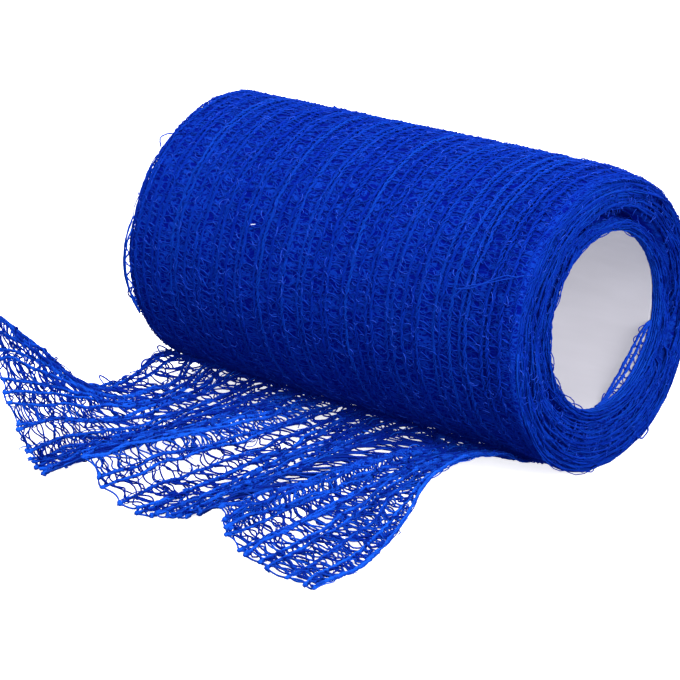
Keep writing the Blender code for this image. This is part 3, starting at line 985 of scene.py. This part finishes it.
def wound_lines():
    """Middle of every rib on the two outer turns, and the way out from the axis."""
    share = RIB_SHARE[:, None] + 0.0 * wound_angle
    places = wound_angle * ROLL_RADIUS
    angle = math.radians(270.0) - np.radians(fold("leaves", RIB_SHARE))[:, None] + wound_angle
    left = -ROLL_HALF + SIDE_GAPS[0] + tuck(angle)
    right = ROLL_HALF - SIDE_GAPS[1] + tilt(angle)
    layer = soft((wound_angle - 0.9 * FULL_TURN) / (0.3 * FULL_TURN))
    x = left + (right - left) * share
    for yarns, every, size in SIDE_DRIFTS:
        x = x + drift(yarns, places, every * MM, size * MM)
    x = x + layer * (0.35 * MM * np.sin(9.0 * share) - 0.2 * MM)
    x = np.clip(x, left, right)
    leaving = fold("roll_x", RIB_SHARE)[:, None] * MM
    x = leaving + (x - leaving) * soft(wound_angle / SPREAD_ANGLE)
    radius = ROLL_RADIUS - SKIN_BELOW - TURN_PITCH * np.maximum(wound_angle - SETTLE_ANGLE, 0.0) / FULL_TURN
    first = LEAVING_REACH - HALF_CLOTH
    radius = first + (radius - first) * soft(wound_angle / SETTLE_ANGLE)
    radius = radius + drift(WARPS, places, *SINKING) - shoulder(x, angle)
    lines, out = round_axis(x, radius, angle)
    return above(lines, RIB_RADIUS), out


turn_lines, turn_out = wound_lines()
half = stops // 2
print("ribs:", WARPS, "with", stops, "points each,", round(turn_step / MM, 2), "mm apart")

# %% Yarns of the two outer turns
outer_lines = turn_lines[:, :half + 1]
outer_out = turn_out[:, :half + 1]
outer_warps = Skein("outer_turn_warps")
add_ribs(outer_warps, outer_lines, outer_out, turn_step, shade=0.38, scale=0.85, strands=4, apart=0.38 * MM)
outer_wefts = Skein("outer_turn_wefts")
add_rungs(outer_wefts, outer_lines, outer_out, turn_step)
under_warps = Skein("under_turn_warps")
under_warps.add(turn_lines[:, half::2], UNDER_RADIUS, 3, turn_out[:, half::2], tones(0.4, 0.12, WARPS))

for skein, finish in ((outer_warps, warp_blue), (outer_wefts, weft_blue), (under_warps, warp_blue)):
    skein.piece(finish)

# %% [markdown]
# ## The selvedges at both ends
# Seen from the end the roll is a spiral of selvedges, the finished edges of the cloth.
# One line runs from the bore outwards, in and out with the depth that the end table
# gives. On it we wind the selvedge's rib and a second rib behind it, rungs between the
# two, and a thin yarn that swings out in small loops, as the edge of a knitted net does.
# At the visible end a few loose strands wander over the turns, and deep turns get a painted shade.

# %% Centre lines of the ends
END_FROM = 17.8 * MM         # radius of the innermost turn
RIB_BEHIND = 1.9 * MM        # how far the second rib lies behind the selvedge
FACE_BEHIND = 0.2 * MM       # the selvedge's middle behind the end face
# Drifts say how far it is from knot to knot, and how much they reach.
RADIUS_DRIFT = (7.0 * MM, 0.17 * MM)
DEPTH_DRIFT = (6.0 * MM, 0.3 * MM)


def end_lines(visible, outermost, step):
    """The selvedge's rib and the rib behind it, wound from the bore outwards."""
    turns = (outermost - END_FROM) / TURN_PITCH
    middle = 0.5 * (outermost + END_FROM)
    swept = np.arange(0.0, turns * FULL_TURN, step / middle)
    places = swept * middle
    loose = 0.4 + 0.6 * soft((swept - FULL_TURN) / FULL_TURN)
    radius = END_FROM + TURN_PITCH * swept / FULL_TURN + loose * drift(1, places, *RADIUS_DRIFT)
    side = 1.0 if visible else -1.0
    angle = 0.6 - swept + 0.0 * radius
    depth = end_depth(visible, radius, angle) + FACE_BEHIND + loose * drift(1, places, *DEPTH_DRIFT)
    if visible:
        radius = radius + fuller(radius, angle)
    edge, out = round_axis(side * (ROLL_HALF - depth), radius, angle)
    lines = np.concatenate([edge, edge - np.array([side * RIB_BEHIND, 0.0, 0.0])])
    return above(lines, RIB_RADIUS), np.concatenate([out, out])


# %% Wind both ends
COLLAR = (1.7 * MM, 1.2 * MM, 0.7 * MM, 0.25 * MM)   # ribs of the innermost turn, over the tube's rim
COLLAR_RADIUS = 17.62 * MM
COLLAR_TURN = 1.02           # their ends overlap a little
# Painted shade: turns that lie deeper than GROOVE_SUNK get a lower tone, by GROOVE_SHADE.
GROOVE_SUNK = 1.9 * MM       # turns that lie deeper than this are darker
GROOVE_SHADE = 1.6
WANDERERS = 3                # loose strands that run round the visible end face
WANDER_OUT = (4.2 * MM, 0.34 * MM)
WANDER_ALONG = (3.7 * MM, 0.3 * MM)
WANDER_TONE = (6.0 * MM, 0.3)
LOOP_LEAN = (3.0 * MM, 1.0)


def wind_end(name, visible, outermost, step, every):
    """One end of the roll as a piece."""
    lines, out = end_lines(visible, outermost, step)
    side = 1.0 if visible else -1.0
    skein = Skein(name)
    # Painted shade on the turns deep in the groove, and on the strands that wander over them.
    sunk = ROLL_HALF - np.abs(lines[:1, :, 0])
    shade = 0.5 - GROOVE_SHADE * soft((sunk - GROOVE_SUNK) / GROOVE_SUNK)
    add_ribs(skein, lines[:1], out[:1], step, shade=shade)
    skein.add(lines[1:], UNDER_RADIUS, 4, out[1:], 0.45)
    add_rungs(skein, lines, out, step, every=every, bow=1.0 * MM)
    places = np.arange(lines.shape[1]) * step
    for _ in range(WANDERERS if visible else 0):
        aside = drift(1, places, *WANDER_OUT)[..., None] * out[:1]
        aside[..., 0] += drift(1, places, *WANDER_ALONG) + 0.1 * MM
        tone = np.clip(shade + drift(1, places, *WANDER_TONE), -1.0, 1.0)
        skein.add(lines[:1] + aside, WEFT, 3, out[:1], tone)
    angle = np.arange(0.0, COLLAR_TURN * FULL_TURN, step / END_FROM)[None]
    for inwards in COLLAR:
        depth = end_depth(visible, END_FROM, angle) + inwards
        ring, ring_out = round_axis(side * (ROLL_HALF - depth), COLLAR_RADIUS, angle)
        add_ribs(skein, ring, ring_out, step, shade=0.9)
    add_scallops(skein, ring, -unit(ring_out - np.array([0.3 * side, 0.0, 0.0])), step, 9.0 * MM,
                 0.9 * MM, stops=10, wide=0.5)
    away = np.zeros_like(lines[:1])
    away[..., 0] = side
    away = unit(away + 0.3 * out[:1] * drift(1, places, *LOOP_LEAN)[..., None])
    add_scallops(skein, lines[:1], away, step, 0.85 * every, 0.55 * MM, stops=6)
    skein.piece(warp_blue)
    return lines


visible_edge = wind_end("visible_selvedges", True, 27.6 * MM, 1.7 * MM, 2.8 * MM)
hidden_edge = wind_end("hidden_selvedges", False, 28.6 * MM, 3.0 * MM, 4.8 * MM)

# %% [markdown]
# ## The loose end as a net
# Now the same ribs from the roll to the cut. Where the folds are steep they crowd
# together and look like solid bands, and in the troughs the table shows between them.
# Two tables say where they crowd, one near the roll and one at the cut. Each rib also
# has its own slow drift. The cut end is ragged, every rib a little shorter or longer.

# %% Centre lines of the loose end
LOOSE_STEP = 1.2 * MM
LOOSE_LENGTH = 66.0 * MM
RAGGED = 0.011               # how uneven the cut is, as a share of the length
# Each pair is a rib's share of the width when even, and its share when gathered.
GATHERED_RIGHT = ((0.654, 0.63), (0.705, 0.668), (0.731, 0.79), (0.77, 0.8), (0.846, 0.828),
                  (0.872, 0.868), (0.936, 0.924), (0.962, 0.957), (1.0, 1.0))
GATHERED_OUT = ((0.0, 0.0), (0.04, 0.036), (0.064, 0.1), (0.13, 0.15), (0.19, 0.205), (0.24, 0.25),
                (0.44, 0.435), (0.474, 0.462), (0.5, 0.505)) + GATHERED_RIGHT
GATHERED_CUT = ((0.0, 0.0), (0.04, 0.038), (0.064, 0.07), (0.077, 0.095), (0.13, 0.15), (0.18, 0.188),
                (0.2, 0.2), (0.23, 0.222), (0.385, 0.272), (0.41, 0.34), (0.425, 0.41),
                (0.474, 0.462), (0.5, 0.5)) + GATHERED_RIGHT
loose_stops = int(LOOSE_LENGTH / LOOSE_STEP)
along_loose = np.linspace(0.0, 1.0, loose_stops)
loose_places = along_loose * LOOSE_LENGTH


def loose_drift(every, size):
    """Slow drift of every rib of the loose end."""
    return drift(WARPS, loose_places, every, size)


def loose_lines():
    """Middle of every rib of the loose end, from the roll to the cut."""
    opened = soft(along_loose / 0.15)
    share = RIB_SHARE[:, None] + 0.0 * along_loose
    gathered = np.interp(share, *zip(*GATHERED_OUT))
    at_cut = soft((along_loose - 0.5) / 0.3)
    gathered = gathered + at_cut * (np.interp(share, *zip(*GATHERED_CUT)) - gathered)
    share = share + soft(along_loose / 0.16) * (gathered - share)
    share = share + opened * (loose_drift(15.0 * MM, 0.0034) + loose_drift(5.5 * MM, 0.003))
    share[0] = 0.0
    share[-1] = 1.0
    share = np.sort(np.clip(share, 0.0, 1.0), axis=0)
    cut = 1.0 + chance.normal(0.0, RAGGED, (WARPS, 1))
    lines, facing = laid(share, along_loose * np.minimum(cut, 1.0))
    lines = lines + facing * (opened * loose_drift(6.0 * MM, 0.3 * MM))[..., None]
    return above(lines, RIB_RADIUS), facing


tail_lines, tail_out = loose_lines()
tail_lengths = lengths(tail_lines)
tail_step = float(tail_lengths.mean()) / (loose_stops - 1)
print("ribs of the loose end, mm long:", np.round([tail_lengths.min() / MM, tail_lengths.max() / MM], 1))

# %% Ribs of the loose end
STRAYS = 2                   # thin strands that wander beside each rib
STRAY_ASIDE = (3.4 * MM, 0.45 * MM)
STRAY_UP = (3.4 * MM, 0.25 * MM)

loose_net = Skein("loose_end_net")
add_ribs(loose_net, tail_lines, tail_out, tail_step, scale=1.4, shade=0.6, fade=0.6)
loose_beside = np.cross(unit(np.gradient(tail_lines, axis=1)), tail_out)
for _ in range(STRAYS):
    stray = (tail_lines + loose_beside * loose_drift(*STRAY_ASIDE)[..., None]
             + tail_out * loose_drift(*STRAY_UP)[..., None])
    loose_net.add(above(stray, WEFT), WEFT, 3, tail_out, tones(0.6, 0.2, WARPS))
loose_end_net = loose_net.piece(loose_lit_shaded_blue)
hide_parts("loose_end")

# %% [markdown]
# One laid-in yarn crosses every gap loosely. Where the photograph shows the net drawn
# together, in the folds and beside the roll, more yarns lie close between some ribs
# and for some way along them. A second yarn has more slack: it stands up in curls.

# %% Rungs of the loose end
LOOSE_WEFT = 0.2 * MM
# Ribs from and to, points from and to, the tone, and mm from crossing to crossing. The tone 0.0 of the
# crowded yarns in the first points beside the roll is painted shade.
CLOSER = (
    (0, 12, 0, 55, 0.1, 2.4), (22, 45, 0, 8, 0.0, 1.1), (13, 22, 3, 36, 0.4, 0.9),
    (10, 19, 28, 55, 0.45, 0.9), (18, 22, 28, 55, 0.3, 1.6), (22, 32, 0, 55, 0.2, 2.4),
    (32, 38, 0, 55, 0.45, 0.8), (37, 45, 0, 38, 0.5, 0.6), (37, 45, 30, 55, 0.3, 1.1),
    (40, 45, 10, 55, 0.4, 1.3), (31, 33, 4, 55, 0.1, 1.5), (0, 10, 34, 55, 0.3, 1.6),
    (33, 38, 10, 55, 0.4, 1.3))


def loose_rungs(skein, ribs, points, shade, every, **shape):
    """Laid-in yarns between some ribs of the loose end, along some of their points."""
    add_rungs(skein, tail_lines[ribs, points], tail_out[ribs, points], tail_step, every * MM,
              LOOSE_WEFT, grounded=True, shade=shade, **shape)


every_one = slice(None)
loose_wefts = Skein("loose_end_wefts")
loose_rungs(loose_wefts, every_one, every_one, 0.1, 2.1, fade=0.4, bow=1.3 * MM, lift=0.5 * MM,
            curl=0.6 * MM, stops=8)
for first, last, start, stop, shade, every in CLOSER:
    loose_rungs(loose_wefts, slice(first, last), slice(start, stop), shade, every, bow=0.8 * MM, stops=6)
wefts = loose_wefts.piece(loose_lit_shaded_blue)
loose_curls = Skein("loose_end_curls")
loose_rungs(loose_curls, every_one, every_one, 0.15, 3.2, fade=0.4, bow=1.6 * MM, lift=0.9 * MM,
            curl=0.9 * MM, stops=8)

# %% [markdown]
# At the left selvedge the yarn swings out in loops. At the cut, every rib ends in soft
# knots, where its stitches have run together, and arcs of yarn hang from rib to rib.

# %% Selvedge loops and the cut
KNOTS = 2                    # soft knots at the cut of each rib
KNOT_SHAPE = np.array([0.22, 0.38, 0.5, 0.48, 0.32, 0.1]) * MM   # radii from end to end
KNOT_UP = (0.1, 0.2, 1.0)
away = np.zeros_like(tail_lines[:1])
away[..., 0] = -1.0
away[..., 2] = 0.5
add_scallops(loose_curls, tail_lines[:1], away, tail_step, 7.0 * MM, 2.4 * MM, LOOSE_WEFT, 14, 0.42)
add_scallops(loose_curls, tail_lines[-1:], -away, tail_step, 4.0 * MM, 0.5 * MM)
middle_lines = tail_lines[:, 6:].reshape(-1, 3)
middle_out = unit(tail_out[:, 6:].reshape(-1, 3) + chance.normal(0.0, 0.7, middle_lines.shape))
add_curls(loose_curls, middle_lines, middle_out, 150, 3.0 * MM, 4.2, WEFT, 0.1, stops=9)

ends = tail_lines[:, -1]
heads = np.repeat(ends, KNOTS, axis=0)
onward = np.repeat(unit(ends - tail_lines[:, -2]), KNOTS, axis=0)
onward = unit(onward + chance.normal(0.0, 0.35, onward.shape))
bent = chance.normal(0.0, 0.3, onward.shape) * MM
part = np.linspace(-1.0, 0.6, len(KNOT_SHAPE))[:, None]
long = chance.uniform(0.5, 0.9, (len(heads), 1, 1)) * MM
knots = heads[:, None] + onward[:, None] * part * long + bent[:, None] * part ** 2
sizes = KNOT_SHAPE * chance.uniform(0.7, 1.1, (len(heads), 1))
tone = chance.uniform(0.5, 0.9, (len(heads), 1))
loose_curls.add(above(knots, KNOT_SHAPE), sizes, 6, KNOT_UP, tone)
part = np.linspace(0.0, 1.0, 9)[:, None]
bulge = (chance.uniform(-1.3, 0.3, (WARPS - 1, 1, 1)) * onward[:-KNOTS:KNOTS, None]
         + chance.normal(0.0, 0.25, (WARPS - 1, 1, 3))) * MM
arcs = ends[:-1, None] + (ends[1:] - ends[:-1])[:, None] * part + bulge * np.sin(math.pi * part)
loose_curls.add(above(arcs, LOOSE_WEFT), LOOSE_WEFT, 4, KNOT_UP, 0.5)
print("knots at the cut:", len(heads))
curls = loose_curls.piece(loose_lit_shaded_blue)

# %% [markdown]
# ## The strip in the bore
# At the mouth of the bore a strip of the innermost turn has folded inwards. It is the
# same net: three ribs that follow the rim, with rungs between them and the white tube
# shining through. It tapers to nothing at both ends, so it covers less than its flat
# width of 10.5 mm times its length. Its mean width, 6.5 mm, gives the area.

# %% The strip's net
FLAP_ANGLES = (-94.0, -90.0, -83.0, -74.0, -64.0, -53.0, -41.0, -27.0, -19.0, -15.0)   # degrees
FLAP_INNER = (17.5, 17.4, 17.1, 16.4, 15.6, 15.2, 15.0, 15.2, 16.2, 17.4)             # in mm
FLAP_OUTER = 17.5 * MM
FLAP_ROOT_X = 48.4 * MM
FLAP_DROP = 1.2 * MM
FLAP_ACROSS = np.array([0.0, 0.55, 0.95])
FLAP_STOPS = 30


def flap_lines():
    """Middle of the strip's ribs, from its folded edge to its free edge."""
    ribs = len(FLAP_ACROSS)
    along = np.linspace(0.0, 1.0, FLAP_STOPS) + np.zeros((ribs, 1))
    across = FLAP_ACROSS[:, None] + drift(ribs, along[0], 0.15, 0.03)
    degrees = FLAP_ANGLES[0] + (FLAP_ANGLES[-1] - FLAP_ANGLES[0]) * along
    inner = through(FLAP_ANGLES, FLAP_INNER, degrees) * MM
    x = FLAP_ROOT_X - FLAP_DROP * across * np.sin(math.pi * along) - HALF_CLOTH
    return round_axis(x, FLAP_OUTER + (inner - FLAP_OUTER) * across, np.radians(degrees))


strip_lines, strip_way = flap_lines()
strip_out = np.broadcast_to(np.array([1.0, 0.0, 0.0]), strip_lines.shape)
strip_lengths = lengths(strip_lines)
strip_step = float(strip_lengths.mean()) / (FLAP_STOPS - 1)
strip_net = Skein("flap_net")
add_ribs(strip_net, strip_lines, strip_out, strip_step, scale=1.15, shade=0.95)
add_rungs(strip_net, strip_lines, strip_out, strip_step, every=1.2 * MM, bow=1.0 * MM, curl=0.6 * MM,
          thickness=0.15 * MM, shade=0.4, stops=8)
flap_net = strip_net.piece(weft_blue)
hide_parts("inner_flap")
strip_loops = Skein("flap_loops")
add_scallops(strip_loops, strip_lines[-1:], -strip_way[-1:], strip_step, 2.6 * MM, 1.1 * MM,
             thickness=0.13 * MM, stops=12, wide=0.7)
flap_loops = strip_loops.piece(weft_blue)

# %% [markdown]
# ## Fuzz
# A texturised thread sheds fine hairs. They lie over the cells in pale arcs, one or two
# millimetres long, and break up the clean lines of the ribs.

# %% Hairs on the roll and on the loose end
HAIR = 0.07 * MM
HAIRY = (19.3 * MM, 26.3 * MM)   # only turns of these radii are hairy: the rims stay smooth
roll_fuzz = Skein("roll_fuzz")
skin_lines = turn_lines[:, :half].reshape(-1, 3)
skin_out = turn_out[:, :half].reshape(-1, 3)
add_curls(roll_fuzz, skin_lines + skin_out * STRAND, skin_out, 3000, 1.7 * MM, 1.9, HAIR, 0.1)
roll_fuzz.piece(fuzz_blue)
end_fuzz = Skein("end_fuzz")
end_curls = Skein("end_curls")
for edge, way, hairs, curled in ((visible_edge, 1.0, 900, 300), (hidden_edge, -1.0, 350, 1)):
    radius = np.hypot(edge[0, :, 1], edge[0, :, 2] - AXIS_HEIGHT)
    roots = edge[0, (radius > HAIRY[0]) & (radius < HAIRY[1])]
    facing = np.broadcast_to((way, 0.0, 0.0), roots.shape)
    add_curls(end_fuzz, roots, facing, hairs, 1.6 * MM, 1.4, HAIR, 0.12)
    add_curls(end_curls, roots, facing, curled, 1.8 * MM, 1.6, 0.1 * MM, 0.12, stops=5)
end_fuzz.piece(fuzz_blue)
end_curls.piece(weft_blue)
loose_fuzz = Skein("loose_end_fuzz")
tail_roots = tail_lines[:, 3:].reshape(-1, 3)
add_curls(loose_fuzz, tail_roots, tail_out[:, 3:].reshape(-1, 3), 1100, 1.3 * MM, 1.6, HAIR, 0.2)
loose_fuzz.piece(fuzz_blue)

# %% [markdown]
# Some yarns have come loose: two lie crosswise over the front of the roll, and at the
# hidden end a stretch of the selvedge stands off and lets the light through. One white
# speck of lint has caught on the front. Each is a smooth curve through a few places,
# given by mm along the roll, degrees round it and mm above its skin.

# %% Loose threads on the roll
THREADS = (
    ("crossing_threads", weft_blue, 0.13, (
        ((33.0, 164.0, -0.1), (36.0, 158.0, 0.2), (40.0, 155.0, 0.2), (47.5, 149.0, -0.4)),
        ((34.0, 160.0, -0.1), (38.0, 157.5, 0.15), (43.0, 152.0, 0.1), (46.5, 151.0, -0.3)))),
    ("selvedge_threads", warp_blue, 0.24, (
        ((-49.2, 165.0, -0.4), (-49.8, 171.0, -0.1), (-50.3, 178.0, 0.0), (-50.5, 186.0, 0.0),
         (-50.1, 195.0, -0.1), (-49.2, 204.0, -0.4)),
        ((-49.2, 163.0, -0.5), (-49.7, 170.0, -0.1), (-50.2, 178.0, 0.1), (-50.3, 187.0, 0.1),
         (-49.8, 196.0, -0.1), (-49.2, 202.0, -0.4)),
        ((-49.0, 168.0, -0.5), (-49.5, 174.0, -0.1), (-49.9, 182.0, 0.0), (-49.9, 190.0, -0.1),
         (-49.6, 198.0, -0.2), (-49.0, 206.0, -0.5)))),
    ("selvedge_loops", weft_blue, 0.19, (
        ((-49.2, 172.0, -0.3), (-50.3, 175.0, -0.1), (-49.5, 178.0, -0.2), (-50.5, 181.5, 0.0),
         (-49.4, 185.0, -0.3), (-50.4, 188.5, 0.0), (-49.4, 192.0, -0.3), (-50.2, 196.0, -0.2),
         (-49.2, 199.0, -0.3)),
        ((-48.3, 125.0, -0.8), (-48.8, 127.0, 0.1), (-49.0, 130.0, 0.2), (-48.5, 132.5, -0.7)),
        ((50.0, -60.5, -1.2), (50.2, -62.0, 0.2), (50.1, -65.5, 0.3), (49.8, -67.5, -1.2)),
        ((-49.4, 193.0, -0.2), (-50.3, 195.0, 0.2), (-50.4, 198.0, 0.1), (-49.4, 200.0, -0.4)))),
    ("lint", lint_pale, 0.08, (
        ((-17.6, 155.0, 0.2), (-17.3, 155.1, 0.4), (-17.0, 155.3, 0.3)),)))
THREAD_STOPS = 40

part = np.linspace(0.0, 1.0, THREAD_STOPS)
for name, finish, thickness, curves in THREADS:
    threads = Skein(name)
    for curve in curves:
        stations = np.linspace(0.0, 1.0, len(curve))
        x, degrees, height = (through(stations, column, part)[None] for column in zip(*curve))
        line, outward = round_axis(x * MM, ROLL_RADIUS + height * MM, np.radians(degrees))
        line = line + np.cumsum(chance.normal(0.0, 0.03 * MM, line.shape), 1)
        threads.add(line, thickness * MM, 4, outward, 0.8)
    threads.piece(finish)

# %% [markdown]
# ## Light, table and background
# The photograph is a bright packshot: a white table that hardly takes a shadow, and
# broad light from above and from the right-hand end. Little comes from below, so the
# roll's underside is deep blue. The table glows by itself and takes only a trace of
# shade. It doesn't light the roll, because the world does that: bright above the
# horizon and dim and bluish below it.

# %% Stage
bpy.ops.mesh.primitive_plane_add(size=6.0, location=(0.0, 0.0, -0.0001))
floor = bpy.context.object
floor.name = "floor"
finish, shader, _ = new_finish("floor_white")
fill(shader, {"Base Color": (0.9, 0.9, 0.9, 1.0), "Roughness": 1.0, "Specular IOR Level": 0.0,
              "Emission Color": (1.0, 1.0, 1.0, 1.0), "Emission Strength": 0.8})
floor.data.materials.append(finish)
floor.visible_diffuse = False
floor.visible_glossy = False


def soft_light(name, place, aim, size, power):
    lamp = bpy.data.lights.new(name, "AREA")
    lamp.shape = "DISK"
    lamp.size = size
    lamp.energy = power
    holder = bpy.data.objects.new(name, lamp)
    holder.location = place
    holder.rotation_euler = (Vector(aim) - Vector(place)).to_track_quat("-Z", "Y").to_euler()
    bpy.context.scene.collection.objects.link(holder)


soft_light("key_above", (-0.05, -0.20, 0.75), (0.0, 0.0, 0.02), 0.55, 5.4)
soft_light("fill_front", (0.86, -0.28, 0.46), (0.0, 0.0, 0.03), 0.6, 11.6)

world = bpy.data.worlds.new("studio")
bpy.context.scene.world = world
world.use_nodes = True
_, _, height = node(world.node_tree, "ShaderNodeTexCoord", {}, {}, "Generated").parts()
light = height.within(-0.15, 0.1).mix((0.13, 0.15, 0.32, 1.0), (0.85, 0.85, 0.85, 1.0))
fill(world.node_tree.nodes["Background"], {"Color": light, "Strength": 1.0})
bpy.context.scene.view_settings.view_transform = "Standard"
print("stage set")
